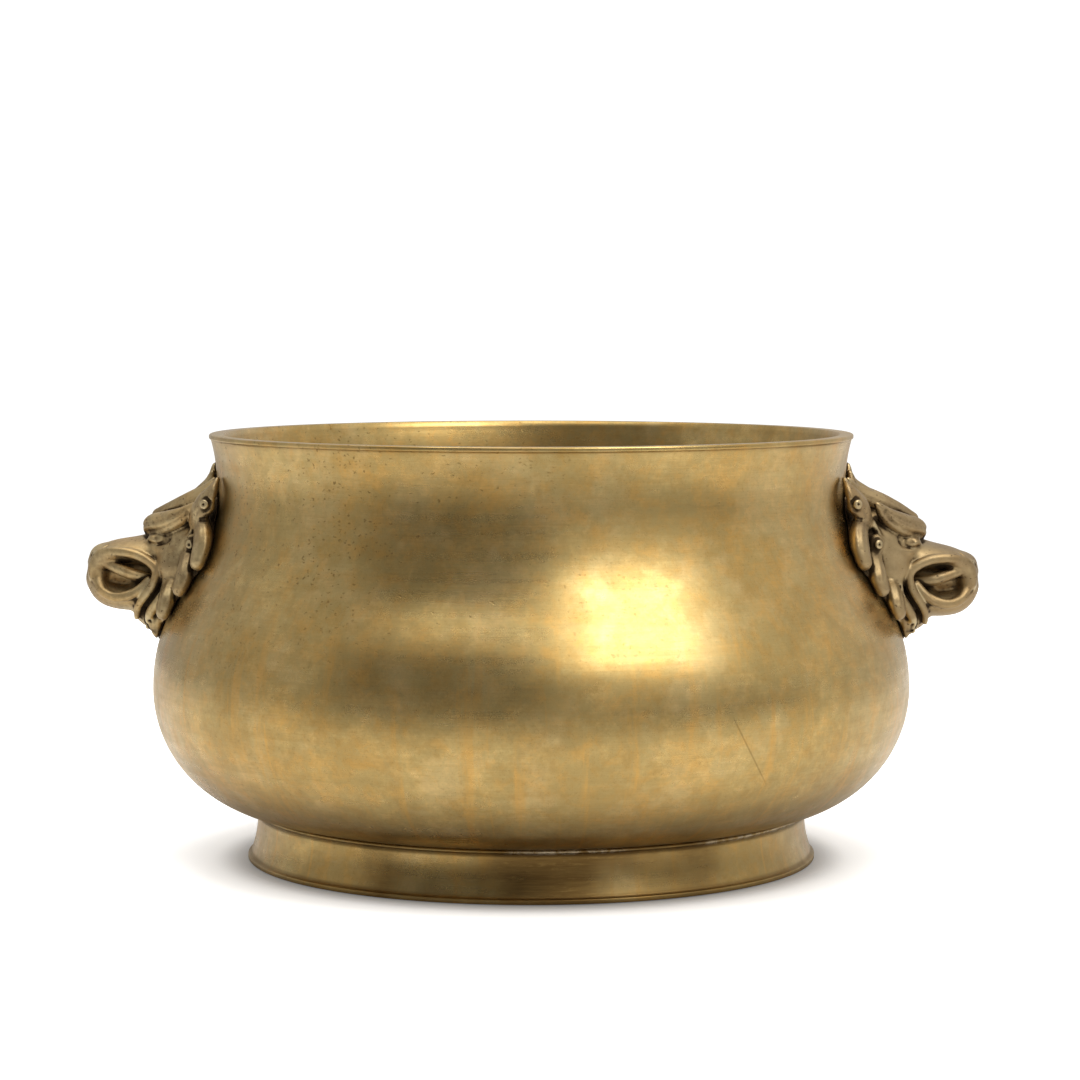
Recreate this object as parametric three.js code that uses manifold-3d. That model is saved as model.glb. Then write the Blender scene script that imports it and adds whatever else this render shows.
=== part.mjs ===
// A bombe incense burner in cast brass: a wide hollow bowl with a waisted neck, a flared rim and a splayed
// ring foot, and two lion masks, cast apart, that are fixed to its shoulders as handles.
// Millimetres, +Z up. The origin is on the bowl's axis, on the plane that the foot stands on.
// The masks look along +X and -X.

import * as THREE from "three";
import { mergeVertices } from "three/addons/utils/BufferGeometryUtils.js";
import Module from "manifold-3d";

const wasm = await Module();
wasm.setup();

// Bowl
const NECK_RADIUS = 84; // narrowest part of the neck
const RIM_FLARE = 2; // how far the rim stands out beyond the neck
const RIM_HEIGHT = 113.6;
const RIM_BAND = 1.3; // height of the plain band that edges the rim
const RIM_STEP = 0.45; // how far that band stands out from the neck below it
const RIM_BEVEL = 0.5; // worn bevel on its top corner
const NECK_DROP = 12.6; // from the rim down to the narrowest part
const BELLY_RADIUS = 101.3; // widest part
const BELLY_HEIGHT = 46.1; // its height above the table
const NECK_SWEEP = 0.4; // how far the neck and the belly hold their upright line,
const BELLY_SWEEP = 0.46; // as shares of the height between them
const WALL = 3.2;
const FLOOR_THICKNESS = 3.8;

// Ring foot
const FOOT_RADIUS = 73.6; // where the ring leaves the bowl
const FOOT_SPLAY = 2.7; // how much wider it is at the table
const FOOT_HEIGHT = 13.4;
const FOOT_WALL = 3.8;
const FOOT_RIDGE = 1.2; // fine ridge where the foot meets the bowl
const FOOT_RIDGE_STEP = 0.5;
const FOOT_BAND = 1.4; // plain band along the foot's lower edge
const FOOT_BAND_STEP = 0.35;
const RECESS_LEDGE = 1.3; // from the head of the foot down to the roof of the recess under the bowl

// Lion masks
const MASK_HEIGHT = 48; // from the tip of the crest to the tip of the beard
const MASK_DROP = 31.6; // from the rim down to the middle of the mask's seat
const LEFT_DROOP = 0; // how far each head hangs down from level, in degrees
const RIGHT_DROOP = 5;
const LEFT_STAND = 0.3; // how far each head is set out from its seat
const RIGHT_STAND = 1.6;
const SEAM = 0.3; // joint between a mask and the wall

// Facets
const BOWL_SIDES = 40;
const OUTER_STEPS = [2, 8, 5]; // down the flare, the shoulder and the underside
const INNER_STEPS = [1, 6, 5];
const RIDGE_SIDES = 4;

const up = new THREE.Vector3(0, 0, 1);
const point = (r, z) => new THREE.Vector2(r, z);
const rimRadius = NECK_RADIUS + RIM_FLARE;
const neckHeight = RIM_HEIGHT - NECK_DROP;
const footBaseRadius = FOOT_RADIUS + FOOT_SPLAY;

// The round under the belly leaves it upright and comes down to the head of the foot.
const roundWidth = BELLY_RADIUS - FOOT_RADIUS;
const roundDepth = BELLY_HEIGHT - FOOT_HEIGHT;
const undersideRound = (roundWidth ** 2 + roundDepth ** 2) / (2 * roundWidth);
const roundCentre = BELLY_RADIUS - undersideRound;

// The outer line of the bowl's wall, from under the rim's band down to the foot.
function wallLine(flareSteps, shoulderSteps, undersideSteps) {
  const lipRadius = rimRadius - RIM_STEP;
  const lipHeight = RIM_HEIGHT - RIM_BAND;
  const flare = new THREE.QuadraticBezierCurve(
    point(lipRadius, lipHeight),
    point(NECK_RADIUS, (lipHeight + neckHeight) / 2),
    point(NECK_RADIUS, neckHeight),
  );
  const fall = neckHeight - BELLY_HEIGHT;
  const shoulder = new THREE.CubicBezierCurve(
    point(NECK_RADIUS, neckHeight),
    point(NECK_RADIUS, neckHeight - NECK_SWEEP * fall),
    point(BELLY_RADIUS, BELLY_HEIGHT + BELLY_SWEEP * fall),
    point(BELLY_RADIUS, BELLY_HEIGHT),
  );
  const last = Math.acos((FOOT_RADIUS - roundCentre) / undersideRound);
  const underside = new THREE.EllipseCurve(
    roundCentre,
    BELLY_HEIGHT,
    undersideRound,
    undersideRound,
    0,
    -last,
    true,
  );
  return [
    ...flare.getPoints(flareSteps).slice(0, -1),
    ...shoulder.getPoints(shoulderSteps).slice(0, -1),
    ...underside.getPoints(undersideSteps),
  ];
}

// A line moved sideways by a distance: inwards if it is positive.
function offsetLine(line, distance) {
  return line.map((p, i) => {
    const before = line[Math.max(i - 1, 0)];
    const after = line[Math.min(i + 1, line.length - 1)];
    const along = after.clone().sub(before).normalize();
    return point(p.x + along.y * distance, p.y - along.x * distance);
  });
}

// A solid of revolution about Z, from a closed outline of radius and height.
function turned(outline) {
  return new THREE.LatheGeometry(outline, BOWL_SIDES).rotateX(Math.PI / 2);
}

// A three.js geometry as a solid that can be joined and cut.
function solidOf(geometry) {
  const bare = geometry.clone();
  bare.deleteAttribute("normal");
  bare.deleteAttribute("uv");
  const merged = mergeVertices(bare, 1e-4);
  const solid = new wasm.Manifold(
    new wasm.Mesh({
      numProp: 3,
      vertProperties: new Float32Array(merged.attributes.position.array),
      triVerts: new Uint32Array(merged.index.array),
    }),
  );
  return solid;
}

// The other way round: a solid as a three.js geometry.
function geometryOf(solid) {
  const made = solid.getMesh();
  const geometry = new THREE.BufferGeometry();
  geometry.setAttribute("position", new THREE.BufferAttribute(made.vertProperties, 3));
  geometry.setIndex(new THREE.BufferAttribute(made.triVerts, 1));
  geometry.computeVertexNormals();
  return geometry;
}

function bowl() {
  const outer = wallLine(...OUTER_STEPS);
  const rim = [
    point(rimRadius - RIM_BEVEL, RIM_HEIGHT),
    point(rimRadius, RIM_HEIGHT - RIM_BEVEL),
    point(rimRadius, RIM_HEIGHT - RIM_BAND + RIM_STEP),
  ];
  const footLine = new THREE.QuadraticBezierCurve(
    point(FOOT_RADIUS, FOOT_HEIGHT - FOOT_RIDGE - FOOT_RIDGE_STEP),
    point(FOOT_RADIUS, FOOT_HEIGHT / 2),
    point(footBaseRadius - FOOT_BAND_STEP, FOOT_BAND),
  );
  const foot = [
    point(FOOT_RADIUS + FOOT_RIDGE_STEP, FOOT_HEIGHT - FOOT_RIDGE / 2),
    point(FOOT_RADIUS + FOOT_RIDGE_STEP / 2, FOOT_HEIGHT - FOOT_RIDGE),
    ...footLine.getPoints(2),
    point(footBaseRadius, FOOT_BAND - FOOT_BAND_STEP),
    point(footBaseRadius, 0),
  ];
  const ceiling = FOOT_HEIGHT - RECESS_LEDGE;
  const recess = [
    point(footBaseRadius - FOOT_WALL, 0),
    point(FOOT_RADIUS - FOOT_WALL, ceiling / 2),
    point(FOOT_RADIUS - FOOT_WALL, ceiling),
    point(0, ceiling),
  ];
  const floorTop = ceiling + FLOOR_THICKNESS;
  const inner = offsetLine(wallLine(...INNER_STEPS), WALL).filter((p) => p.y > floorTop + WALL / 3);
  inner[0].y = RIM_HEIGHT; // the wall's inner line runs up to the flat top of the rim
  const lowest = inner.at(-1);
  const corner = point(Math.min(roundCentre, lowest.x - (lowest.y - floorTop)), floorTop);
  // Up the outside from the axis, then down the inside and back to the axis.
  return turned([
    ...recess.reverse(),
    ...foot.reverse(),
    ...outer.reverse(),
    ...rim.reverse(),
    ...inner,
    corner,
    point(0, floorTop),
  ]);
}

// Everything inside the outer face of the bowl, a seam's width larger: it cuts the back of a mask to fit.
function bowlCutter() {
  const line = offsetLine(wallLine(...OUTER_STEPS), -SEAM);
  return turned([
    point(0, 0),
    point(FOOT_RADIUS, 0),
    ...line.reverse(),
    point(rimRadius + SEAM, RIM_HEIGHT),
    point(0, RIM_HEIGHT),
  ]);
}

// The radius of the bowl's outer face at a height.
const fineWall = wallLine(12, 60, 24);
function wallRadius(z) {
  const i = fineWall.findIndex((p) => p.y <= z);
  if (i <= 0) return fineWall[0].x;
  const [high, low] = [fineWall[i - 1], fineWall[i]];
  return low.x + ((high.x - low.x) * (z - low.y)) / (high.y - low.y);
}

// A mask is carved in parts, 48 of them to its height. A place on it is out from the wall, to one side of
// the middle, and up from the seat. The face hangs down about the seat by its droop.
const PART = MASK_HEIGHT / 48;
const seatHeight = RIM_HEIGHT - MASK_DROP;
const seatRadius = wallRadius(seatHeight);

function maskPlaces(droop, stand) {
  const turn = new THREE.Matrix4().makeRotationY(THREE.MathUtils.degToRad(droop));
  const face = (out, side, rise) =>
    new THREE.Vector3(out * PART, side * PART, rise * PART)
      .applyMatrix4(turn)
      .add(new THREE.Vector3(seatRadius + stand, 0, seatHeight));
  // A place over the wall itself, so many parts proud of it.
  const wall = (proud, side, rise) => {
    const z = seatHeight + rise * PART;
    const radius = wallRadius(z) + proud * PART;
    const y = side * PART;
    return new THREE.Vector3(Math.sqrt(radius * radius - y * y), y, z);
  };
  return { face, wall };
}

// A rounded lump with a radius outwards, sideways and upwards, tipped up in front by some degrees.
function lump(centre, radii, tip = 0, across = 10, high = 7) {
  return new THREE.SphereGeometry(1, across, high)
    .rotateX(Math.PI / 2)
    .scale(radii[0] * PART, radii[1] * PART, radii[2] * PART)
    .rotateY(-THREE.MathUtils.degToRad(tip))
    .translate(centre.x, centre.y, centre.z);
}

// A strip of clay laid along a curve through stations [place, half width, half thickness], which is the
// form of a lip, a brow, a lock of the mane or a tongue. Its width lies square to the outward direction.
function strip(stations, outward, steps = 1, sides = RIDGE_SIDES) {
  const curve = new THREE.CatmullRomCurve3(stations.map((s) => s[0]));
  const widths = new THREE.SplineCurve(stations.map((s, i) => point(i, s[1] * PART)));
  const depths = new THREE.SplineCurve(stations.map((s, i) => point(i, s[2] * PART)));
  const rings = (stations.length - 1) * steps;
  const positions = [];
  for (let i = 0; i <= rings; i++) {
    const t = i / rings;
    const place = curve.getPoint(t);
    const along = curve.getTangent(t);
    const across = new THREE.Vector3().crossVectors(outward, along).normalize();
    const thick = new THREE.Vector3().crossVectors(along, across);
    for (let k = 0; k < sides; k++) {
      const angle = (2 * Math.PI * k) / sides;
      const vertex = place
        .clone()
        .addScaledVector(across, Math.cos(angle) * widths.getPoint(t).y)
        .addScaledVector(thick, Math.sin(angle) * depths.getPoint(t).y);
      positions.push(...vertex.toArray());
    }
  }
  positions.push(...stations[0][0].toArray(), ...stations.at(-1)[0].toArray());
  const [start, end] = [positions.length / 3 - 2, positions.length / 3 - 1];
  const faces = [];
  for (let k = 0; k < sides; k++) {
    const next = (k + 1) % sides;
    for (let i = 0; i < rings; i++) {
      const [a, b] = [i * sides + k, i * sides + next];
      faces.push(a, b, b + sides, a, b + sides, a + sides);
    }
    faces.push(start, next, k, end, rings * sides + k, rings * sides + next);
  }
  const geometry = new THREE.BufferGeometry();
  geometry.setAttribute("position", new THREE.Float32BufferAttribute(positions, 3));
  geometry.setIndex(faces);
  return geometry;
}

// The same piece on the other side of the mask's middle.
function mirrored(geometry) {
  const copy = geometry.clone().scale(1, -1, 1);
  const index = copy.index.array;
  for (let i = 0; i < index.length; i += 3) [index[i + 1], index[i + 2]] = [index[i + 2], index[i + 1]];
  return copy;
}

const both = (geometries) => geometries.flatMap((g) => [g, mirrored(g)]);
const outwards = (side) => new THREE.Vector3(1, side, 0).normalize();

function headForms({ face }) {
  return [
    lump(face(-2.4, 0, 3), [15.4, 18.6, 11.6], -12, 8, 5), // skull
    ...both([lump(face(4, 10.4, -3.6), [7.4, 7.2, 7.4], 0, 8, 5)]), // cheeks
  ];
}

function muzzleForms({ face }) {
  const muzzle = [
    [face(7, 0, 0.6), 13, 5.6],
    [face(16, 0, 0), 12, 4],
    [face(24, 0, -1), 10.2, 3.3],
    [face(29.2, 0, -3.2), 6, 1.9],
  ];
  const jaw = [
    [face(7, 0, -10), 12, 5.6],
    [face(17, 0, -12.2), 11.2, 4],
    [face(24.4, 0, -11.2), 9.4, 3.8],
    [face(27.9, 0, -8), 6.8, 3],
    [face(29.4, 0, -5), 4.6, 1],
  ];
  const gums = lump(face(18.5, 0, -5.6), [10, 6.6, 6], 0, 8, 4);
  const nose = lump(face(26.6, 0, -0.9), [3.2, 5.6, 2.7], -20, 8, 5);
  return [strip(muzzle, up, 1, 6), strip(jaw, up, 1, 6), gums, nose];
}

// The throat and the beard under it, which runs down the wall to a point.
function throatForm({ face, wall }) {
  const beard = [
    [face(15, 0, -11), 10.5, 5.4],
    [face(14, 0, -16.6), 9, 3.4],
    [wall(1.6, 0, -21), 5.4, 1.9],
    [wall(0.4, 0, -24.2), 0.7, 0.7],
  ];
  return strip(beard, outwards(0), 1, 6);
}

// One side of the mouth, between the jaws.
function mouthHollow({ face }) {
  return lump(face(18.6, 13.2, -5.4), [8.2, 6.8, 4.6], 0, 8, 5);
}

// The thick upper lip rounds the corner of the mouth and goes on as a fold down beside the jaw. A second
// fold follows it, and the lower lip curls up to the front of the mouth. The tongue's edge shows between.
function lipForms({ face }) {
  const upper = [
    [face(29.6, 1.6, -2.4), 1, 0.9],
    [face(27.2, 6.6, -0.8), 1.3, 1.2],
    [face(22, 10.6, 0.2), 1.4, 1.3],
    [face(15.4, 12.4, -0.6), 1.4, 1.4],
    [face(10.4, 13, -3.6), 1.4, 1.5],
    [face(11.6, 13, -8.8), 1.2, 1.4],
    [face(15.6, 11.4, -13.6), 1.2, 1.3],
    [face(16, 8.6, -17.4), 0.7, 0.8],
  ];
  const fold = [
    [face(7.6, 14.6, -5.6), 0.9, 1],
    [face(8.6, 14.2, -10.6), 1.3, 1.4],
    [face(12.6, 11.8, -15.6), 1.3, 1.4],
    [face(13.4, 8.2, -20), 0.7, 0.8],
  ];
  const lower = [
    [face(12.6, 11.6, -6.8), 1, 1],
    [face(16.4, 11.8, -10.6), 1.4, 1.3],
    [face(22, 10.8, -11.4), 1.5, 1.3],
    [face(26.6, 7.6, -8.8), 1.4, 1.3],
    [face(29.4, 2.4, -5), 1, 1],
  ];
  const tongue = [
    [face(12.4, 8.4, -6), 1.1, 1],
    [face(18, 8.4, -5), 1.4, 1.4],
    [face(24.6, 6.4, -2.6), 1.2, 1.2],
  ];
  return both([upper, fold, lower, tongue].map((line) => strip(line, outwards(1.2))));
}

function eyeForms({ face, wall }) {
  const ball = lump(face(9.6, 11, 4), [3.3, 2.4, 1.7], -8, 8, 5);
  const brow = [
    [face(14.4, 3, 6.6), 1.6, 1.6],
    [face(12.6, 7.8, 8.3), 2.9, 2.5],
    [face(8.2, 12, 9.2), 3.2, 2.7],
    [face(3.4, 15.4, 10.4), 2.3, 2.1],
    [face(0, 18.4, 13.6), 0.7, 0.7],
  ];
  const forelock = [
    [face(11, 3.4, 9.8), 1.8, 1.4],
    [face(4.2, 8.8, 12.6), 2.4, 1.8],
    [wall(3.2, 13.6, 16.4), 2, 1.5],
    [wall(0.8, 16.4, 20), 0.6, 0.6],
  ];
  return both([ball, strip(brow, outwards(0.8), 1, 6), strip(forelock, outwards(0.5))]);
}

function crestForms({ face, wall }) {
  const crest = [
    [face(11.4, 0, 8.8), 2.4, 1.6],
    [face(3.4, 0, 12.6), 3.4, 2],
    [wall(2.2, 0, 18), 2.8, 1.5],
    [wall(0.5, 0, 23.2), 0.6, 0.6],
  ];
  const sideLock = [
    [face(2.4, 5.6, 13), 2.4, 1.7],
    [wall(2.6, 7.6, 17.4), 2.5, 1.5],
    [wall(0.7, 8.6, 21.8), 0.6, 0.6],
  ];
  const ear = [
    [wall(4.6, 17.6, 8.6), 2.6, 2],
    [wall(4.8, 22, 12.6), 3.9, 2.4],
    [wall(3, 24.2, 17), 2.8, 1.6],
    [wall(0.8, 23, 20.6), 0.6, 0.6],
  ];
  return [strip(crest, outwards(0), 1, 6), ...both([strip(sideLock, outwards(0.2)), strip(ear, outwards(0.3), 1, 6)])];
}

// The mane: a collar that hugs the wall, from [rise, half width] down its height, and broad locks that hang
// in a fan over it, from [side, rise, half width] at each root, middle and tip.
const COLLAR = [
  [21.4, 6],
  [17, 21],
  [12, 23.5],
  [9, 21],
  [3, 29],
  [-4, 28.5],
  [-8, 24],
  [-14, 20],
  [-19, 12],
  [-23.4, 2],
];
const LOCKS = [
  [[19.5, 8.4, 3], [26.4, 3, 5], [29.6, -5.4, 1.8]],
  [[17, 0, 2.8], [22.8, -6.4, 4.5], [25.4, -12.6, 1.4]],
  [[12, -8.5, 2.6], [17.4, -13.6, 3.9], [19.4, -19, 1.3]],
  [[5.4, -13, 2.4], [9, -17.8, 3.2], [8, -22.6, 0.9]],
];
const LOCK_PROUD = [4, 2.9, 0.8];
const LOCK_DEPTH = [1.8, 2, 0.9];

function collarForm({ wall }) {
  const columns = 4;
  const depth = 2.2; // how proud of the wall it stands in the middle, and how far it is sunk in behind
  const rows = COLLAR.length;
  const positions = [];
  for (const front of [true, false]) {
    for (const [rise, half] of COLLAR) {
      for (let k = 0; k <= columns; k++) {
        const share = (2 * k) / columns - 1;
        const proud = front ? depth * (1 - 0.7 * share ** 4) : -depth;
        positions.push(...wall(proud, share * half, rise).toArray());
      }
    }
  }
  const at = (layer, row, column) => (layer * rows + row) * (columns + 1) + column;
  const faces = [];
  const quad = (a, b, c, d) => faces.push(a, b, c, a, c, d);
  for (let i = 0; i + 1 < rows; i++) {
    for (let k = 0; k < columns; k++) {
      quad(at(0, i, k), at(0, i + 1, k), at(0, i + 1, k + 1), at(0, i, k + 1));
      quad(at(1, i, k), at(1, i, k + 1), at(1, i + 1, k + 1), at(1, i + 1, k));
    }
    quad(at(0, i, 0), at(1, i, 0), at(1, i + 1, 0), at(0, i + 1, 0));
    quad(at(0, i, columns), at(0, i + 1, columns), at(1, i + 1, columns), at(1, i, columns));
  }
  for (let k = 0; k < columns; k++) {
    quad(at(0, 0, k), at(0, 0, k + 1), at(1, 0, k + 1), at(1, 0, k));
    quad(at(0, rows - 1, k), at(1, rows - 1, k), at(1, rows - 1, k + 1), at(0, rows - 1, k + 1));
  }
  const geometry = new THREE.BufferGeometry();
  geometry.setAttribute("position", new THREE.Float32BufferAttribute(positions, 3));
  geometry.setIndex(faces);
  return geometry;
}

function maneForms({ wall }) {
  const station = ([side, rise, width], i) => [wall(LOCK_PROUD[i], side, rise), width, LOCK_DEPTH[i]];
  return both(LOCKS.map((lock) => strip(lock.map(station), outwards(0.3), 1, 5)));
}

const cutter = solidOf(bowlCutter());

function mask(droop, stand) {
  const places = maskPlaces(droop, stand);
  const join = (forms) => wasm.Manifold.union(forms.map(solidOf));
  const head = join([...headForms(places), ...muzzleForms(places), throatForm(places), collarForm(places)]);
  const carved = head.subtract(join(both([mouthHollow(places)])));
  const features = [
    ...lipForms(places),
    ...eyeForms(places),
    ...crestForms(places),
    ...maneForms(places),
  ];
  return geometryOf(wasm.Manifold.union([carved, join(features)]).subtract(cutter));
}

const polishedBrass = new THREE.MeshStandardMaterial({ color: 0xb49455, roughness: 0.34, metalness: 1 });
const patinatedBrass = new THREE.MeshStandardMaterial({ color: 0x8f7a4f, roughness: 0.5, metalness: 1 });

const burner = new THREE.Group();
burner.name = "bombe_incense_burner";

function place(name, geometry, material, turnZ = 0) {
  const mesh = new THREE.Mesh(geometry, material);
  mesh.name = name;
  mesh.rotation.z = turnZ;
  burner.add(mesh);
}

place("bowl", bowl(), polishedBrass);
place("lion_mask_right", mask(RIGHT_DROOP, RIGHT_STAND), patinatedBrass);
place("lion_mask_left", mask(LEFT_DROOP, LEFT_STAND), patinatedBrass, Math.PI);

export default burner;
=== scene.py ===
import math

import bpy
import numpy as np
from mathutils.kdtree import KDTree
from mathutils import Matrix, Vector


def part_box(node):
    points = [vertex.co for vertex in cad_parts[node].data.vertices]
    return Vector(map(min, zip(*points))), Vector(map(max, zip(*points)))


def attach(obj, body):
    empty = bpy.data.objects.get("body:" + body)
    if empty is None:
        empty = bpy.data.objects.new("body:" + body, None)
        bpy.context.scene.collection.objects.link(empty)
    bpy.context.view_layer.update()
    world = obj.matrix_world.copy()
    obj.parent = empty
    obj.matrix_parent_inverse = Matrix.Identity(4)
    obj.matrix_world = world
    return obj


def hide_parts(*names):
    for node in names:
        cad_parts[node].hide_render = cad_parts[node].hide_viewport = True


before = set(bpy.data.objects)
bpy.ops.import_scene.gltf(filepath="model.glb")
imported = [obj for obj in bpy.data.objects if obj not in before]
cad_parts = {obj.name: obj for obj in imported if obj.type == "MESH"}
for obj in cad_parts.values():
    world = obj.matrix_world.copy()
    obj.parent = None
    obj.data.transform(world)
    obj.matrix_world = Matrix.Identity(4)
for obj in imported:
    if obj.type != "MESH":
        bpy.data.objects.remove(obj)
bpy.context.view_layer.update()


# The camera. A long lens at table height looks a little down on the burner, with the masks at its two sides.
CAMERA_DIP = 4.294                          # degrees below level
camera_data = bpy.data.cameras.new("camera")
camera_data.sensor_width = 36.0
camera_data.lens = 107.37
camera_data.clip_end = 50.0
camera = bpy.data.objects.new("camera", camera_data)
camera.location = (0.00235, -0.8624, 0.1495)
camera.rotation_euler = (math.radians(90 - CAMERA_DIP), 0.0, 0.0)
bpy.context.scene.collection.objects.link(camera)
bpy.context.scene.camera = camera


# The bowl is one casting in brass, turned and buffed after it was cast: a belly, a waisted neck, a flared rim
# with a plain raised band, and a splayed ring foot under a turned ridge. Years of handling and smoke have
# mottled the polish brown. Sizes are in metres, and the largest two come from the frame.
_, bowl_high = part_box("bowl")
BELLY_RADIUS = bowl_high.x
RIM_HEIGHT = bowl_high.z
NECK_RADIUS = 0.0840
RIM_RADIUS = 0.0860
NECK_DROP = 0.0126
NECK_HEIGHT = RIM_HEIGHT - NECK_DROP
BELLY_HEIGHT = 0.0461
NECK_SWEEP = 0.40
BELLY_SWEEP = 0.46
RIM_BAND = 0.0013
RIM_STEP = 0.00045
RIM_ROUND = 0.00045
WALL = 0.0032
FOOT_RADIUS = 0.0736
FOOT_HEIGHT = 0.0134
FOOT_BASE_RADIUS = 0.0763
FOOT_WALL = 0.0038
FOOT_BAND = 0.0014
FOOT_BAND_STEP = 0.00035
FOOT_RIDGE_STEP = 0.0005
RIDGE_MIDDLE = FOOT_HEIGHT - 0.0006
FLOOR_TOP = 0.0159
RECESS_TOP = 0.0121
HOLLOW_HEIGHT = 0.0755                      # the wheel took the shoulder down a little, most of all here
HOLLOW_REACH = 0.0115
HOLLOW_DEPTH = 0.00045
OUT_OF_TRUE = 0.00003
BOWL_SIDES = 304

round_width = BELLY_RADIUS - FOOT_RADIUS
round_depth = BELLY_HEIGHT - FOOT_HEIGHT
ROUND_RADIUS = (round_width ** 2 + round_depth ** 2) / (2 * round_width)
ROUND_CENTRE = BELLY_RADIUS - ROUND_RADIUS


def bezier(points, count):
    """Evenly stepped places along a Bezier curve of three or four points, its last place left out."""
    t = np.linspace(0.0, 1.0, count, endpoint=False)[:, None]
    points = [np.array(p, float) for p in points]
    while len(points) > 1:
        points = [a * (1 - t) + b * t for a, b in zip(points, points[1:])]
    return points[0]


def arc(centre, radius, start, end, count):
    """Places along a round, from one angle in degrees to another."""
    a = np.radians(np.linspace(start, end, count))[:, None]
    return np.array(centre) + radius * np.hstack([np.cos(a), np.sin(a)])


def wall_line(flare_steps, shoulder_steps, underside_steps):
    """The outer line of the wall, radius and height, from under the rim's band down to the foot."""
    lip = (RIM_RADIUS - RIM_STEP, RIM_HEIGHT - RIM_BAND)
    fall = NECK_HEIGHT - BELLY_HEIGHT
    flare = bezier(
        [lip, (NECK_RADIUS, (lip[1] + NECK_HEIGHT) / 2), (NECK_RADIUS, NECK_HEIGHT)], flare_steps)
    shoulder = bezier(
        [(NECK_RADIUS, NECK_HEIGHT), (NECK_RADIUS, NECK_HEIGHT - NECK_SWEEP * fall),
         (BELLY_RADIUS, BELLY_HEIGHT + BELLY_SWEEP * fall), (BELLY_RADIUS, BELLY_HEIGHT)], shoulder_steps)
    last = -math.degrees(math.acos((FOOT_RADIUS - ROUND_CENTRE) / ROUND_RADIUS))
    underside = arc((ROUND_CENTRE, BELLY_HEIGHT), ROUND_RADIUS, 0.0, last, underside_steps)
    return np.vstack([flare, shoulder, underside])


def offset_line(line, distance):
    """The line moved square to itself, inwards if the distance is positive."""
    along = np.gradient(line, axis=0)
    along /= np.linalg.norm(along, axis=1)[:, None]
    return line + distance * np.column_stack([along[:, 1], -along[:, 0]])


def link_mesh(name, vertices, faces):
    """A mesh object in the scene."""
    mesh = bpy.data.meshes.new(name)
    mesh.from_pydata(vertices, [], faces)
    mesh.polygons.foreach_set("use_smooth", [True] * len(mesh.polygons))
    mesh.update()
    made = bpy.data.objects.new(name, mesh)
    bpy.context.scene.collection.objects.link(made)
    return made


# The outline runs from the middle of the underside, down inside the foot, up the outside, over the rim and
# down the inside to the middle of the floor.
SMALL = 0.0004                              # radius of the worn corners
RECESS_ROUND = 0.0012
recess_radius = FOOT_RADIUS - FOOT_WALL
recess = [(0.0, RECESS_TOP), (0.03, RECESS_TOP), (recess_radius - 0.0015, RECESS_TOP)]
recess += list(arc((recess_radius - RECESS_ROUND, RECESS_TOP - RECESS_ROUND), RECESS_ROUND, 90, 0, 5))
recess += list(np.linspace((recess_radius, RECESS_TOP / 2), (FOOT_BASE_RADIUS - FOOT_WALL, SMALL), 8))
recess += [(FOOT_BASE_RADIUS - FOOT_WALL + SMALL, 0.0), (FOOT_BASE_RADIUS - 0.0020, 0.0)]
band_top = FOOT_BAND - FOOT_BAND_STEP
foot = list(arc((FOOT_BASE_RADIUS - SMALL, SMALL), SMALL, -90, 0, 5))
foot += list(arc((FOOT_BASE_RADIUS - SMALL, band_top - 0.0001), SMALL, 0, 60, 4))
foot += list(bezier([
    (FOOT_BASE_RADIUS - 2.2 * FOOT_BAND_STEP, FOOT_BAND + 0.0001),
    (FOOT_RADIUS, FOOT_HEIGHT / 2),
    (FOOT_RADIUS, FOOT_HEIGHT - 0.0017)], 22))
foot += list(arc((FOOT_RADIUS, RIDGE_MIDDLE), FOOT_RIDGE_STEP, -80, 80, 8))
wall = wall_line(16, 84, 44)
wall[:, 0] -= HOLLOW_DEPTH * np.exp(-((wall[:, 1] - HOLLOW_HEIGHT) / HOLLOW_REACH) ** 2)
foot_groove = [(FOOT_RADIUS - 0.0002, FOOT_HEIGHT - 0.0001)]
lip = list(arc((RIM_RADIUS - RIM_ROUND, RIM_HEIGHT - RIM_BAND + RIM_ROUND), RIM_ROUND, -60, 0, 5))
lip += list(arc((RIM_RADIUS - RIM_ROUND, RIM_HEIGHT - RIM_ROUND), RIM_ROUND, 0, 90, 6))
inside = offset_line(wall_line(10, 56, 34), WALL)
inside = inside[(inside[:, 1] > FLOOR_TOP + 0.0004) & (inside[:, 1] < RIM_HEIGHT - 0.0008)]
mouth = [(inside[0, 0] + 0.0006, RIM_HEIGHT), (inside[0, 0] + 0.0002, RIM_HEIGHT - 0.00015)]
floor_line = [(r, FLOOR_TOP) for r in (ROUND_CENTRE - 0.001, 0.056, 0.042, 0.028, 0.014, 0.0)]
outline = np.array(
    recess + foot + foot_groove + list(wall[::-1]) + lip + mouth + list(inside) + floor_line)

rings = len(outline) - 2
turn = 2 * math.pi * np.arange(BOWL_SIDES) / BOWL_SIDES
radius, height = outline[1:-1, 0][:, None], outline[1:-1, 1][:, None]

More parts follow.
